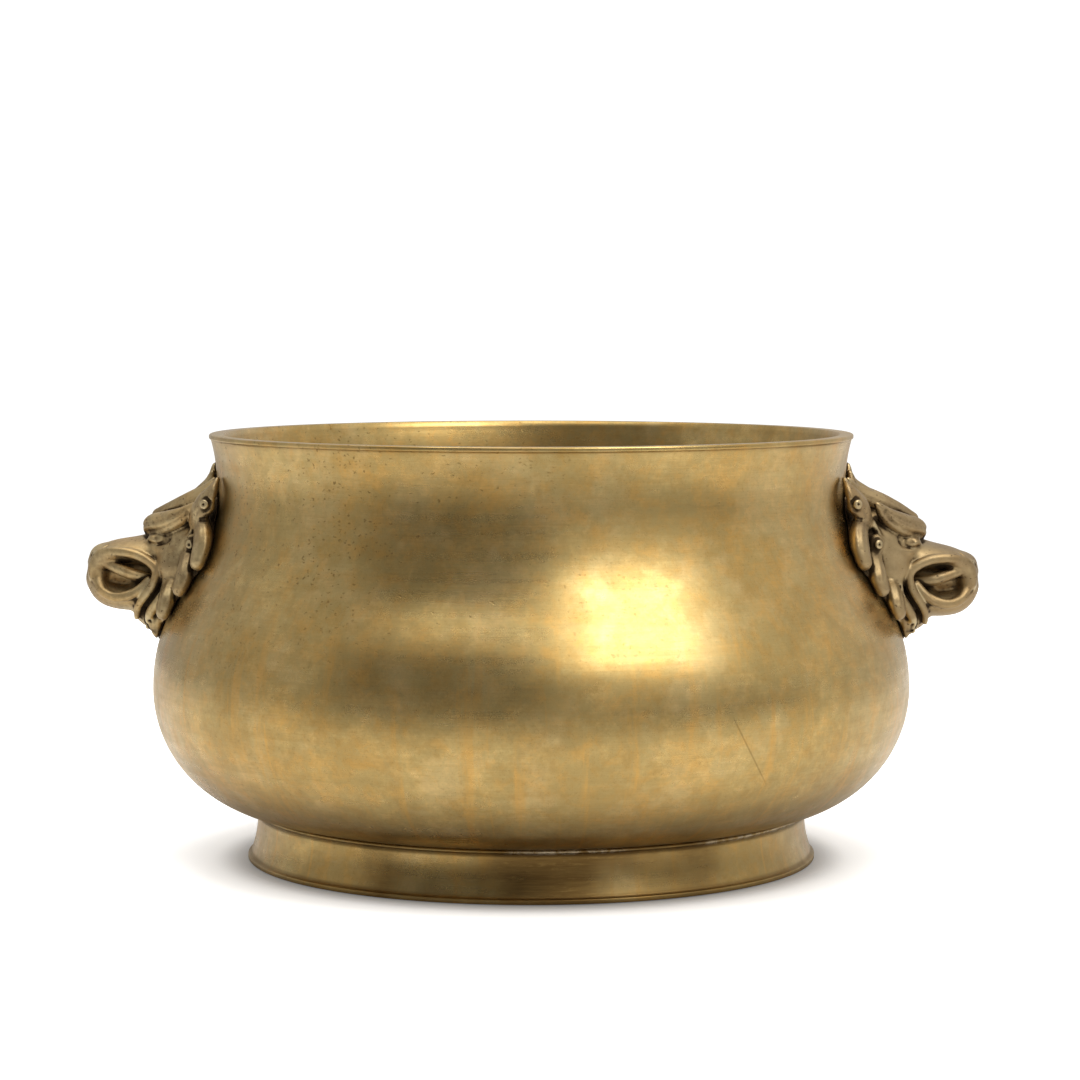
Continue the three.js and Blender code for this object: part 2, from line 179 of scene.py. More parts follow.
# Hand turning leaves the wall a few hundredths of a millimetre out of true, which bends its reflections. The
# waves add up to 2.7 at most, so that they only go inwards.
waver = (np.sin(2 * turn + 0.6) + 0.7 * np.sin(3 * turn + 31 * height + 2.0)
         + 0.6 * np.sin(5 * turn - 55 * height + 0.4) + 0.4 * np.sin(9 * turn + 90 * height))
radius = radius - OUT_OF_TRUE * (waver + 2.7) * (radius > 0.05)
places = np.stack([radius * np.cos(turn), radius * np.sin(turn), height + 0 * turn], axis=-1).reshape(-1, 3)
places = np.vstack([places, [[0, 0, outline[0, 1]], [0, 0, outline[-1, 1]]]])
faces = []
for i in range(rings - 1):
    for k in range(BOWL_SIDES):
        here, there = i * BOWL_SIDES + k, i * BOWL_SIDES + (k + 1) % BOWL_SIDES
        faces.append((here, there, there + BOWL_SIDES, here + BOWL_SIDES))
last_ring = (rings - 1) * BOWL_SIDES
for k in range(BOWL_SIDES):
    beside = (k + 1) % BOWL_SIDES
    faces.append((len(places) - 2, beside, k))
    faces.append((len(places) - 1, last_ring + k, last_ring + beside))
bowl = link_mesh("bowl_turned", places.tolist(), faces)


def add(tree, kind, inputs=None, **settings):
    """One shader node. Each input is a value or another node's socket."""
    made = tree.nodes.new("ShaderNode" + kind)
    for name, value in settings.items():
        setattr(made, name, value)
    for key, value in (inputs or {}).items():
        if isinstance(value, bpy.types.NodeSocket):
            tree.links.new(value, made.inputs[key])
        else:
            made.inputs[key].default_value = value
    return made


def calc(tree, operation, *values):
    """The result of a Math node."""
    return add(tree, "Math", dict(enumerate(values)), operation=operation).outputs[0]


def product(tree, first, *others):
    """Values multiplied together."""
    for value in others:
        first = calc(tree, "MULTIPLY", first, value)
    return first


def calc_vector(tree, operation, *values):
    """The result of a Vector Math node."""
    return add(tree, "VectorMath", dict(enumerate(values)), operation=operation).outputs[0]


def noise(tree, vector, scale, detail, roughness=0.5, distortion=0.0):
    """The value of a noise texture."""
    return add(tree, "TexNoise", {
        "Vector": vector, "Scale": scale, "Detail": detail, "Roughness": roughness,
        "Distortion": distortion}).outputs[0]


def spread(tree, value, low, high, out_low=0.0, out_high=1.0):
    """A value spread from one range to another, with soft ends."""
    made = add(tree, "MapRange", {
        "Value": value, "From Min": low, "From Max": high, "To Min": out_low, "To Max": out_high},
        interpolation_type="SMOOTHSTEP")
    return made.outputs["Result"]


def blend_colour(tree, share, first, second):
    """One colour laid over another by a share."""
    return add(tree, "Mix", {0: share, 6: first, 7: second}, data_type="RGBA").outputs[2]


def layered(tree, colour, layers):
    """A colour under others, each given by where it lies, how strongly, and the colour itself."""
    for share, strength, laid_on in layers:
        colour = blend_colour(tree, product(tree, share, strength), colour, laid_on)
    return colour


def piled(tree, value, parts):
    """A value with others added to it, each by its own weight."""
    for part, weight in parts:
        value = calc(tree, "ADD", value, product(tree, part, weight))
    return value


def group(name, inputs, outputs):
    """A new node group with its sockets, and its input and output nodes."""
    tree = bpy.data.node_groups.new(name, "ShaderNodeTree")
    for socket, kind, value in inputs:
        made = tree.interface.new_socket(socket, in_out="INPUT", socket_type="NodeSocket" + kind)
        if value is not None:
            made.default_value = value
    for socket, kind in outputs:
        tree.interface.new_socket(socket, in_out="OUTPUT", socket_type="NodeSocket" + kind)
    return tree, tree.nodes.new("NodeGroupInput").outputs, tree.nodes.new("NodeGroupOutput")


def finish_group(tree, output, results):
    """Joins a group's results to its output node."""
    for name, socket in results.items():
        tree.links.new(socket, output.inputs[name])
    return tree


# Patina: soft brown clouds, warmer orange tints, and small dark pits that gather in patches.
tree, given, result = group(
    "patina",
    [("Vector", "Vector", None), ("Cloud Size", "Float", 30.0), ("Pit Size", "Float", 420.0),
     ("Pits", "Float", 0.5)],
    [("Brown", "Float"), ("Warm", "Float"), ("Pitted", "Float")])
clouds = noise(tree, given["Vector"], given["Cloud Size"], 6.0, 0.6, 0.5)
tints = noise(tree, calc_vector(tree, "ADD", given["Vector"], (0.31, 0.17, 0.42)),
              product(tree, given["Cloud Size"], 0.6), 5.0, 0.65)
fine = noise(tree, given["Vector"], product(tree, given["Cloud Size"], 11.0), 4.0, 0.7)
ragged = add(tree, "TexNoise", {
    "Vector": given["Vector"], "Scale": product(tree, given["Pit Size"], 1.1), "Detail": 3.0}).outputs[1]
ragged = add(tree, "VectorMath", {
    0: calc_vector(tree, "SUBTRACT", ragged, (0.5, 0.5, 0.5)),
    "Scale": calc(tree, "DIVIDE", 1.5, given["Pit Size"])}, operation="SCALE").outputs[0]
ragged = calc_vector(tree, "MULTIPLY", calc_vector(tree, "ADD", given["Vector"], ragged), (1.0, 1.0, 1.7))
speck = add(tree, "TexVoronoi", {
    "Vector": ragged, "Scale": given["Pit Size"], "Randomness": 1.0}, feature="F1")
speck_draw = add(tree, "SeparateColor", {0: speck.outputs["Color"]}).outputs[0]
patches = spread(tree, clouds, 0.42, 0.66)
kept = calc(tree, "LESS_THAN", speck_draw, product(tree, given["Pits"], calc(tree, "ADD", patches, 0.25)))
pit = spread(tree, speck.outputs["Distance"], 0.42, 0.12)
patina = finish_group(tree, result, {
    "Brown": spread(tree, piled(tree, clouds, [(fine, 0.45)]), 0.60, 0.84),
    "Warm": spread(tree, tints, 0.47, 0.66),
    "Pitted": product(tree, pit, kept)})

# Buffing: fine marks drawn out along one direction of the vector that comes in.
tree, given, result = group(
    "buffing", [("Vector", "Vector", None), ("Coarse", "Float", 1.0)],
    [("Marks", "Float"), ("Haze", "Float")])
fine_marks = noise(tree, given["Vector"], 1.0, 3.0, 0.75)
broad_marks = noise(tree, given["Vector"], 0.16, 4.0, 0.6)
buffing = finish_group(tree, result, {
    "Marks": piled(tree, fine_marks, [(broad_marks, given["Coarse"])]),
    "Haze": spread(tree, broad_marks, 0.35, 0.7)})


def new_material(name):
    """An empty material and its node tree."""
    material = bpy.data.materials.new(name)
    material.use_nodes = True
    material.node_tree.nodes.clear()
    return material, material.node_tree


def use_group(tree, kind, inputs):
    """The outputs of a node group at work."""
    return add(tree, "Group", inputs, node_tree=kind).outputs


def hold(thing, name, values):
    """Keeps a value from 0 to 1 at each of a mesh's places, for its material to read."""
    held = thing.data.attributes.get(name) or thing.data.attributes.new(name, "FLOAT", "POINT")
    held.data.foreach_set("value", np.clip(values, 0, 1).astype(np.float32))


# The bowl's own finish. The marks of the buffing wheel run level round it, stains run down it.
BRASS = (0.65, 0.455, 0.178, 1.0)
BRASS_BROWN = (0.38, 0.245, 0.08, 1.0)
BRASS_WARM = (0.66, 0.37, 0.10, 1.0)
BRASS_PALE = (0.70, 0.52, 0.25, 1.0)
BRASS_OLIVE = (0.42, 0.34, 0.15, 1.0)
# Pale worn brass, also used as a painted highlight on the foot's ridge.
BRASS_WORN_AND_HIGHLIGHT = (0.86, 0.76, 0.56, 1.0)
# Dark brown stain, also used as a painted dark reflection on the foot.
BRASS_STAIN_AND_REFLECTION = (0.13, 0.072, 0.022, 1.0)
# Dark pits and scratches, also the colour of the painted shade in the bowl's grooves and seams.
BRASS_PIT_AND_SHADE = (0.15, 0.09, 0.03, 1.0)
SCRATCH_ACROSS = 0.0488                     # where the long scratch starts, low on the right
SCRATCH_HEIGHT = 0.049
SCRATCH_LEAN = 0.49                         # how far it leans outwards for each step down

polished_brass, tree = new_material("polished_brass")
where = add(tree, "TexCoord").outputs["Object"]
at_x, at_y, at_z = add(tree, "SeparateXYZ", {0: where}).outputs
outward = calc_vector(tree, "NORMALIZE", add(tree, "CombineXYZ", {0: at_x, 1: at_y, 2: 0.0}).outputs[0])


def round_bowl(turns, rises):
    """The way round the bowl and up it, each stretched by its own number, for marks that run along it."""
    level = calc_vector(tree, "MULTIPLY", outward, (turns, turns, 0.0))
    upright = add(tree, "CombineXYZ", {2: product(tree, at_z, rises)}).outputs[0]
    return calc_vector(tree, "ADD", level, upright)


level_marks = round_bowl(9.0, 2600.0)
wear = use_group(tree, patina, {"Vector": where, "Cloud Size": 28.0, "Pit Size": 760.0, "Pits": 0.32})
mottle = use_group(tree, patina, {"Vector": where, "Cloud Size": 95.0, "Pit Size": 2100.0, "Pits": 0.5})
flecks = use_group(tree, patina, {"Vector": where, "Cloud Size": 280.0, "Pit Size": 4000.0, "Pits": 0.0})
marks = use_group(tree, buffing, {"Vector": level_marks, "Coarse": 0.8})
hairs = use_group(tree, buffing, {
    "Vector": calc_vector(tree, "MULTIPLY", level_marks, (1.6, 1.6, 0.4)), "Coarse": 0.5})
stains = noise(tree, round_bowl(22.0, 26.0), 1.0, 5.0, 0.6, 0.25)
stained = product(tree, spread(tree, stains, 0.53, 0.68), spread(tree, at_z, 0.085, 0.05))
# The foot is darkened brown, most at the middle of its front and back: partly stain, partly a painted dark
# reflection.
foot_clouds = noise(tree, where, 24.0, 3.0)
from_front = calc(tree, "ABSOLUTE", calc(tree, "SUBTRACT", at_x, 0.002))
foot_stain_and_reflection = product(
    tree, spread(tree, foot_clouds, 0.30, 0.58, 0.3, 1.0),
    spread(tree, at_z, FOOT_HEIGHT + 0.001, FOOT_HEIGHT - 0.001),
    spread(tree, from_front, 0.050, 0.038, 0.25, 1.0))
# The foot's ridge is pale in patches: rubbed wear and a painted highlight.
from_ridge = calc(tree, "ABSOLUTE", calc(tree, "SUBTRACT", at_z, RIDGE_MIDDLE))
ridge_wear_and_highlight = product(tree, spread(tree, foot_clouds, 0.50, 0.60), flecks["Brown"],
                     spread(tree, from_ridge, 0.0009, 0.0003))
lean = product(tree, calc(tree, "SUBTRACT", SCRATCH_HEIGHT, at_z), SCRATCH_LEAN)
aside = calc(tree, "ABSOLUTE", calc(tree, "SUBTRACT", at_x, calc(tree, "ADD", lean, SCRATCH_ACROSS)))
scratch_line = product(
    tree, spread(tree, aside, 0.00032, 0.00008), spread(tree, at_y, 0.0, -0.01),
    product(tree, spread(tree, at_z, 0.029, 0.034), spread(tree, at_z, 0.050, 0.046)))
high_up = product(tree, spread(tree, at_z, 0.045, 0.085, 0.15, 0.62),
                  spread(tree, at_x, 0.03, -0.02, 0.2, 1.0))
# Painted shade held on the mesh: grooves, bottom edge and the masks' seams are darkened in colour and made
# rougher.
painted_shade = add(tree, "Attribute", attribute_name="painted_shade").outputs["Fac"]

colour = layered(tree, BRASS, (
    (wear["Brown"], 0.66, BRASS_BROWN), (wear["Warm"], 0.62, BRASS_WARM),
    (mottle["Brown"], 0.50, BRASS_BROWN), (mottle["Warm"], 0.50, BRASS_PALE),
    (flecks["Warm"], 0.42, BRASS_WARM), (flecks["Brown"], 0.42, BRASS_OLIVE),
    (stained, 0.55, BRASS_WARM), (foot_stain_and_reflection, 0.97, BRASS_STAIN_AND_REFLECTION), (ridge_wear_and_highlight, 0.8, BRASS_WORN_AND_HIGHLIGHT),
    (spread(tree, hairs["Marks"], 0.84, 0.98), 0.30, BRASS_BROWN),
    (spread(tree, marks["Marks"], 0.7, 1.15), 0.26, BRASS_BROWN),
    (wear["Pitted"], high_up, BRASS_PIT_AND_SHADE), (mottle["Pitted"], 0.25, BRASS_PIT_AND_SHADE),
    (scratch_line, 0.4, BRASS_PIT_AND_SHADE), (painted_shade, 1.0, BRASS_PIT_AND_SHADE)))
rough = piled(tree, 0.255, (
    (wear["Brown"], 0.07), (marks["Haze"], 0.05), (wear["Pitted"], 0.08), (painted_shade, 0.3)))
relief = calc(tree, "SUBTRACT", product(tree, marks["Marks"], 0.3), product(tree, wear["Pitted"], high_up))
# The polish leans as if the wheel had gone deeper into the shoulder, which draws the reflections down it.
from_hollow = calc(tree, "DIVIDE", calc(tree, "SUBTRACT", at_z, HOLLOW_HEIGHT), HOLLOW_REACH)
hollowed = calc(tree, "EXPONENT", product(tree, from_hollow, from_hollow, -1.0))
leaning = add(tree, "Bump", {
    "Height": product(tree, hollowed, -2 * HOLLOW_DEPTH), "Strength": 1.0, "Distance": 1.0})
bumps = add(tree, "Bump", {
    "Height": relief, "Strength": 0.22, "Distance": 0.00012, "Normal": leaning.outputs[0]})
surface = add(tree, "BsdfPrincipled", {
    "Base Color": colour, "Metallic": 1.0, "Roughness": rough, "Normal": bumps.outputs[0]})
add(tree, "OutputMaterial", {"Surface": surface.outputs[0]})

# Painted shade in the grooves under the rim's band, at the foot's ridge and band, and along the bottom edge
# on the table.
painted_shade_at = np.zeros(len(places))
z, r = places[:, 2], np.hypot(places[:, 0], places[:, 1])
bowl_places, z_bowl = places, z
outer_face = r > np.interp(z, wall[::-1, 1], wall[::-1, 0]) - WALL / 2
painted_shade_at += 0.5 * np.exp(-((z - FOOT_HEIGHT - 0.0003) / 0.0014) ** 2) * (r > 0.072)
painted_shade_at += 0.45 * np.exp(-((z - (RIM_HEIGHT - RIM_BAND - 0.0002)) / 0.0004) ** 2) * outer_face
painted_shade_at += 0.6 * np.exp(-((z - (FOOT_BAND + 0.0003)) / 0.0005) ** 2) * (r > 0.074)
painted_shade_at += 0.6 * np.exp(-(z / 0.0009) ** 2) * (r > 0.074)
hold(bowl, "painted_shade", painted_shade_at)
bowl.data.materials.append(polished_brass)
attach(bowl, "root")
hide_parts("bowl")


# The lion masks are handles, each cast in brass by itself, chased with small chisels, and fixed to the wall
# over a seam. Brow, muzzle, tongue, crest and the mane's locks are carved in parts, 48 to a mask's height,
# like the solids, but as clay: a grid of distances to its skin that are below zero inside.
PART = 0.001
MASK_DROP = 0.0316
SEAT_HEIGHT = RIM_HEIGHT - MASK_DROP
SEAM = 0.0003
CLAY_STEP = 0.00036
MASKS = {                                   # droop in degrees, how far the head stands out, its side
    "lion_mask_left": (0.0, 0.0002, -1),
    "lion_mask_right": (5.0, 0.0016, 1),
}


def wall_radius(z):
    """The wall's outer radius at a height."""
    return np.interp(z, wall[::-1, 1], wall[::-1, 0])


# The block of clay reaches from inside the wall to past the nose, and from the mask's middle to past its ear.
# The other half is its mirror image.
seat_radius = float(wall_radius(SEAT_HEIGHT))
clay_low = np.array([seat_radius - 11 * PART, 0.0, SEAT_HEIGHT - 26 * PART])
clay_shape = np.array([122, 96, 140])
clay_axes = [clay_low[i] + CLAY_STEP * np.arange(clay_shape[i]) for i in range(3)]
clay_out, clay_side, clay_height = (
    axis.reshape(shape) for axis, shape in zip(clay_axes, ((-1, 1, 1), (1, -1, 1), (1, 1, -1))))
off_wall = np.sqrt(clay_out * clay_out + clay_side * clay_side) - wall_radius(clay_height)
MIDDLE = (1.0, 0.0, 0.0)


def unit(v):
    """The same way with a length of one."""
    v = np.asarray(v, float)
    return v / np.linalg.norm(v)


def face(out, side, rise):
    """A place on the head, which hangs from the seat by its droop: out, to one side, and up, in parts."""
    c, s = math.cos(math.radians(droop)), math.sin(math.radians(droop))
    return np.array([seat_radius + stand + PART * (out * c + rise * s), PART * side,
                     SEAT_HEIGHT + PART * (rise * c - out * s)])


def on_wall(proud, side, rise):
    """A place over the bowl's wall, so many parts proud of it."""
    z = SEAT_HEIGHT + PART * rise
    r = float(wall_radius(z)) + PART * proud
    y = PART * side
    return np.array([math.sqrt(r * r - y * y), y, z])


def window(low, high):
    """The piece of the grid between two corners, and its three coordinates."""
    first = np.clip(((low - clay_low) / CLAY_STEP).astype(int), 0, clay_shape - 1)
    last = np.clip(((high - clay_low) / CLAY_STEP).astype(int) + 2, first + 1, clay_shape)
    cut = tuple(slice(a, b) for a, b in zip(first, last))
    x, y, z = (axis[c] for axis, c in zip(clay_axes, cut))
    return cut, (x[:, None, None], y[None, :, None], z[None, None, :])


def smooth_least(a, b, soft):
    """The lesser of two distances, rounded where they meet."""
    near = np.maximum(soft - np.abs(a - b), 0) / soft
    return np.minimum(a, b) - near * near * soft / 4


def press(cut, shape, soft, hollow=False):
    """Adds a shape to the clay, or hollows it out."""
    if hollow:
        clay[cut] = -smooth_least(-clay[cut], shape, soft * PART)
    else:
        clay[cut] = smooth_least(clay[cut], shape, soft * PART)


def lump(centre, radii, tip=0.0, soft=0.5, hollow=False):
    """A rounded lump with a radius outwards, sideways and upwards, tipped up in front by some degrees."""
    radii = np.array(radii) * PART
    pad = radii.max() + (soft + 1) * PART
    cut, (x, y, z) = window(centre - pad, centre + pad)
    c, s = math.cos(math.radians(tip)), math.sin(math.radians(tip))
    dx, dy, dz = x - centre[0], y - centre[1], z - centre[2]
    ax, az = dx * c + dz * s, dz * c - dx * s
    size = np.sqrt((ax / radii[0]) ** 2 + (dy / radii[1]) ** 2 + (az / radii[2]) ** 2) + 1e-9
    reach = np.sqrt(ax ** 2 + dy ** 2 + az ** 2)
    press(cut, reach * (1 - 1 / size), soft, hollow)


def curve_through(values, per_span):
    """A smooth curve through the values: a Catmull-Rom spline."""
    values = np.array(values, float)
    ends = np.vstack([2 * values[0] - values[1], values, 2 * values[-1] - values[-2]])
    out = []
    for i in range(len(values) - 1):
        a, b, c, d = ends[i:i + 4]
        for t in np.linspace(0, 1, per_span, endpoint=False):
            out.append(0.5 * (2 * b + (c - a) * t + (2 * a - 5 * b + 4 * c - d) * t * t
                              + (3 * b - a - 3 * c + d) * t ** 3))
    out.append(values[-1])
    return np.array(out)


def laid(stations, outward, per_span=7):
    """A strip's curve: its places, half widths and thicknesses, and the ways across it and out of it."""
    flat = curve_through([[*p, w * PART, h * PART] for p, w, h in stations], per_span)
    along = np.gradient(flat[:, :3], axis=0)
    along /= np.linalg.norm(along, axis=1)[:, None]
    across = np.cross(unit(outward), along)
    across /= np.linalg.norm(across, axis=1)[:, None]
    return flat[:, :3], np.maximum(flat[:, 3:], 0.0001), across, np.cross(along, across)


spare_clay = np.empty(clay_shape)


def strip(stations, outward, soft=0.35, hollow=False):
    """Clay laid along a curve through stations of place, half width and half thickness."""
    places, sizes, across, out = laid(stations, outward)
    spare_clay.fill(1.0)
    pad = sizes.max() + (soft + 0.6) * PART
    for i in range(len(places) - 1):
        a, b = places[i], places[i + 1]
        cut, (x, y, z) = window(np.minimum(a, b) - pad, np.maximum(a, b) + pad)
        span = b - a
        t = ((x - a[0]) * span[0] + (y - a[1]) * span[1] + (z - a[2]) * span[2]) / (span @ span)
        t = np.clip(t, 0, 1)
        d = [q - a[k] - t * span[k] for k, q in enumerate((x, y, z))]
        w = sizes[i, 0] + t * (sizes[i + 1, 0] - sizes[i, 0])
        h = sizes[i, 1] + t * (sizes[i + 1, 1] - sizes[i, 1])
        m = np.minimum(w, h)
        in_w = d[0] * across[i, 0] + d[1] * across[i, 1] + d[2] * across[i, 2]
        in_h = d[0] * out[i, 0] + d[1] * out[i, 1] + d[2] * out[i, 2]
        reach = np.sqrt(d[0] ** 2 + d[1] ** 2 + d[2] ** 2)
        rest = np.maximum(reach ** 2 - in_w ** 2 - in_h ** 2, 0)
        size = np.sqrt((in_w / w) ** 2 + (in_h / h) ** 2 + rest / m ** 2) + 1e-9
        spare_clay[cut] = np.minimum(spare_clay[cut], reach * (1 - 1 / size))
    cut, _ = window(places.min(0) - pad, places.max(0) + pad)
    press(cut, spare_clay[cut], soft, hollow)


def groove(line, radius=0.42, soft=0.3):
    """A chased line of round section through some places."""
    strip([(p, radius, radius) for p in line], MIDDLE, soft, hollow=True)


def chase(stations, outward, shares, radius=0.42, start=0.12, end=0.86):
    """Lines chased along a strip, each at a share of its half width."""
    places, sizes, across, out = laid(stations, outward, 5)
    for share in shares:
        line = places + across * sizes[:, :1] * share + out * sizes[:, 1:] * math.sqrt(1 - share * share)
        first, last = int(start * len(line)), max(int(end * len(line)), 2)
        groove(line[first:last:2], radius)


def curl(centre, outward, radius):
    """A button of hair with a ring and a dimple chased in it."""
    outward = unit(outward)
    side = unit(np.cross((0, 0, 1), outward))
    top = np.cross(outward, side)
    lump(centre, (radius * 0.8, radius, radius), soft=0.3)
    ring, high = 0.6 * radius * PART, 0.64 * radius * PART
    turns = np.linspace(0, 2 * math.pi, 13)
    circle = [centre + ring * (side * math.cos(t) + top * math.sin(t)) + outward * high for t in turns]
    groove(circle, soft=0.15)
    groove([centre + outward * (radius * 0.8 + d) * PART for d in (0.3, -0.2)], soft=0.15)


def sideways(share):
    """Outwards, turned by a share to the side."""
    return unit((1.0, share, 0.0))


def model_head():
    """The skull, cheek, muzzle, jaw, nose and the beard's root, with the mouth hollowed out."""
    lump(face(-2.4, 0, 3), (15.0, 18.4, 11.4), -12, soft=0.1)
    lump(face(4.2, 10.0, -3.2), (7.2, 7.0, 7.2), soft=2.5)
    strip([(face(7, 0, 0.6), 13, 5.4), (face(16, 0, 0.1), 11.8, 3.9), (face(24, 0, -0.8), 10.2, 3.2),
           (face(28.5, 0, -3.0), 6, 1.8)], (0, 0, 1), soft=2.0)
    strip([(face(7, 0, -10), 12, 5.6), (face(17, 0, -12.2), 11, 3.9), (face(24.4, 0, -11.2), 9.2, 3.7),
           (face(27.9, 0, -8), 6.6, 2.8), (face(29.3, 0, -5), 4.4, 1.0)], (0, 0, 1), soft=1.5)
    lump(face(18.5, 0, -5.6), (9.8, 6.2, 6), soft=1.0)
    lump(face(26.8, 0, -0.9), (3.0, 5.4, 2.5), -20, soft=1.2)
    lump(face(26.4, 4.2, -1.1), (2.6, 2.4, 2.0), -15, soft=0.5)
    strip([(face(15, 0, -11), 10, 5.2), (face(14, 0, -16.6), 8.8, 3.4), (on_wall(0.3, 0, -21), 4.8, 1.3),
           (on_wall(0.2, 0, -23.6), 0.9, 0.5)], MIDDLE, soft=1.0)
    lump(face(26.2, 1.0, -4.6), (3.0, 6.6, 5.6), soft=1.5)
    lump(face(18.2, 13.6, -5.7), (8.9, 7.2, 5.3), soft=0.8, hollow=True)


def model_collar():
    """The thin plate on the wall that the mane lies on, its half widths set at some heights."""
    rises = np.array([-23.4, -19, -14, -8, -4, 3, 9, 12, 17, 20, 22])
    halves = np.array([1.5, 11, 18.5, 23.5, 27.5, 28.5, 22.5, 23, 19, 9, 0.5])
    rise = clay_height - SEAT_HEIGHT
    half = np.interp(rise / PART, rises, halves) * PART
    share = np.clip(clay_side / np.maximum(half, PART), 0, 1)
    deep = (1.9 - 1.1 * share ** 3) * np.clip(
        np.minimum(rise + 24 * PART, 23 * PART - rise) / (4 * PART), 0.1, 1)
    proud = off_wall - PART * deep
    edge = (clay_side - half) * 0.8
    press((slice(None),) * 3, -smooth_least(-proud, -edge, 1.6 * PART), 0.8)


def model_mouth():
    """The lips with the folds behind them, the tongue, the beard's strands and a nostril."""
    upper = [(face(28.6, 0, -2.2), 1.0, 1.0), (face(27.4, 6.2, -0.8), 1.2, 1.2),
             (face(22, 10.4, 0.5), 1.3, 1.3), (face(15.4, 12.3, -0.4), 1.3, 1.4),
             (face(10.6, 13, -3.8), 1.3, 1.5), (face(11.4, 13, -8.4), 1.2, 1.4),
             (face(15.2, 11.4, -13.4), 1.2, 1.3), (face(16.4, 8.6, -17.2), 0.8, 0.8)]
    outer_fold = [(face(7.6, 14.6, -5.6), 0.9, 1.0), (face(8.4, 14.2, -10.4), 1.4, 1.4),
                  (face(12.2, 11.8, -15.6), 1.4, 1.4), (face(13.4, 8.2, -20), 0.7, 0.8)]
    lower = [(face(12.6, 11.6, -6.8), 1.0, 1.0), (face(16.4, 11.8, -10.4), 1.4, 1.3),
             (face(22, 10.8, -11.6), 1.4, 1.3), (face(26.6, 7.4, -9.1), 1.3, 1.3),
             (face(28.4, 2.4, -5.2), 1.1, 1.1), (face(28.8, 0, -4.8), 1.1, 1.1)]
    tongue = [(face(12.2, 9.2, -6.6), 1.1, 1.0), (face(18, 9.6, -5.4), 1.7, 1.6),
              (face(24.4, 7.6, -2.8), 1.4, 1.3), (face(27, 4, -2.6), 0.9, 0.9)]
    out = sideways(1.2)
    for line in (upper, outer_fold, lower, tongue):
        strip(line, out)
    strip([(face(25.6, 7.6, -0.6), 1.2, 1.2), (face(27.4, 6.6, -3.0), 1.7, 1.6),
           (face(27.6, 6.2, -6.2), 1.8, 1.6), (face(25.8, 7.4, -9.2), 1.2, 1.2)], out, soft=1.2)
    chase(upper, out, (0.1,), 0.3, 0.1, 0.62)
    chase(lower, out, (0.0,), 0.3, 0.2, 0.8)
    for k in range(3):
        strip([(face(10.0 + 2.2 * k, 11.4 - 1.2 * k, -12.8 - 1.0 * k), 0.9, 0.9),
               (face(9.4 + 2.2 * k, 10.4 - 1.6 * k, -16.6 - 0.8 * k), 1.2, 1.1),
               (face(10.2 + 1.3 * k, 8.2 - 1.8 * k, -19.4 - 0.5 * k), 1.0, 0.9),
               (on_wall(0.5, 4.2 - 1.5 * k, -22.8), 0.3, 0.3)], out)
    lump(face(28.4, 3.1, -2.9), (1.2, 1.1, 1.0), soft=0.3)
    groove([face(28.6, 4.4, -1.2), face(27.6, 6.0, -0.4), face(25.4, 6.8, 0.6), face(24.0, 5.6, 1.5)], 0.38)


def model_eyes():
    """The eye between its lids, the fold under it, the brow, and the forelock over the brow."""
    lump(face(10.0, 10.4, 4.0), (3.3, 3.4, 1.7), -8, soft=0.1)
    groove([face(13.6, 9.4, 4.4), face(11.8, 12.6, 5.6), face(9.2, 13.6, 5.9), face(6.4, 14.0, 5.1)], 0.36)
    groove([face(13.6, 9.4, 4.2), face(11.6, 12.6, 2.8), face(9.2, 13.6, 2.3), face(6.4, 14.0, 4.0)], 0.36)
    groove([face(10.6, 13.4, 4.3), face(10.0, 13.6, 4.2)], 0.5)
    strip([(face(12.9, 9.4, 3.2), 0.8, 0.8), (face(10.3, 12.4, 1.5), 0.9, 0.9),
           (face(5.0, 15.2, 2.3), 1.0, 0.9), (face(1.5, 17.0, 4.8), 0.9, 0.9),
           (face(-1.0, 18.4, 8.8), 0.7, 0.7)], sideways(1))
    brow = [(face(13.2, 3, 5.8), 1.8, 1.8), (face(11.6, 8.0, 7.4), 2.9, 2.9),
            (face(7.4, 12.4, 8.4), 3.1, 3.2), (face(3.0, 15.8, 10.4), 2.3, 2.6),
            (face(-0.4, 18.6, 13.4), 0.9, 0.9)]
    strip(brow, sideways(0.8))
    chase(brow, sideways(0.8), (-0.6, 0.15), 0.45, 0.10, 0.95)
    forelock = [(face(11.2, 3.4, 9.6), 1.9, 1.5), (face(4.2, 8.8, 12.6), 2.5, 1.9),
                (on_wall(3.2, 13.6, 16.4), 2.1, 1.5), (on_wall(0.9, 16.6, 20), 0.7, 0.7)]
    strip(forelock, sideways(0.5))
    chase(forelock, sideways(0.5), (-0.3, 0.35), 0.34)


def model_crest():
    """The crest on the forehead, the lock beside it, and the ear with its curl."""
    crest = [(face(11.6, 0, 8.6), 2.5, 1.6), (face(3.4, 0, 12.6), 3.5, 2.0), (on_wall(2.2, 0, 18), 2.9, 1.5),
             (on_wall(0.6, 0, 23), 0.8, 0.7)]
    strip(crest, MIDDLE)
    chase(crest, MIDDLE, (0.0, 0.55), 0.36)
    lock = [(face(2.4, 5.6, 13), 2.5, 1.7), (on_wall(2.6, 7.8, 17.4), 2.6, 1.5),
            (on_wall(0.8, 8.8, 21.6), 0.7, 0.7)]
    strip(lock, sideways(0.2))
    chase(lock, sideways(0.2), (0.0,), 0.34)
    ear = [(on_wall(4.4, 17.6, 8.6), 2.6, 2.0), (on_wall(4.4, 22, 12.6), 3.9, 2.2),
           (on_wall(2.8, 24.2, 17), 2.8, 1.5), (on_wall(0.9, 23, 20.4), 0.7, 0.7)]
    strip(ear, sideways(0.3))
    chase(ear, sideways(0.3), (-0.5, 0.6), 0.36, 0.3, 0.95)
    curl(on_wall(3.6, 24.2, 13.8), (0.3, 1.0, 0.1), 2.8)


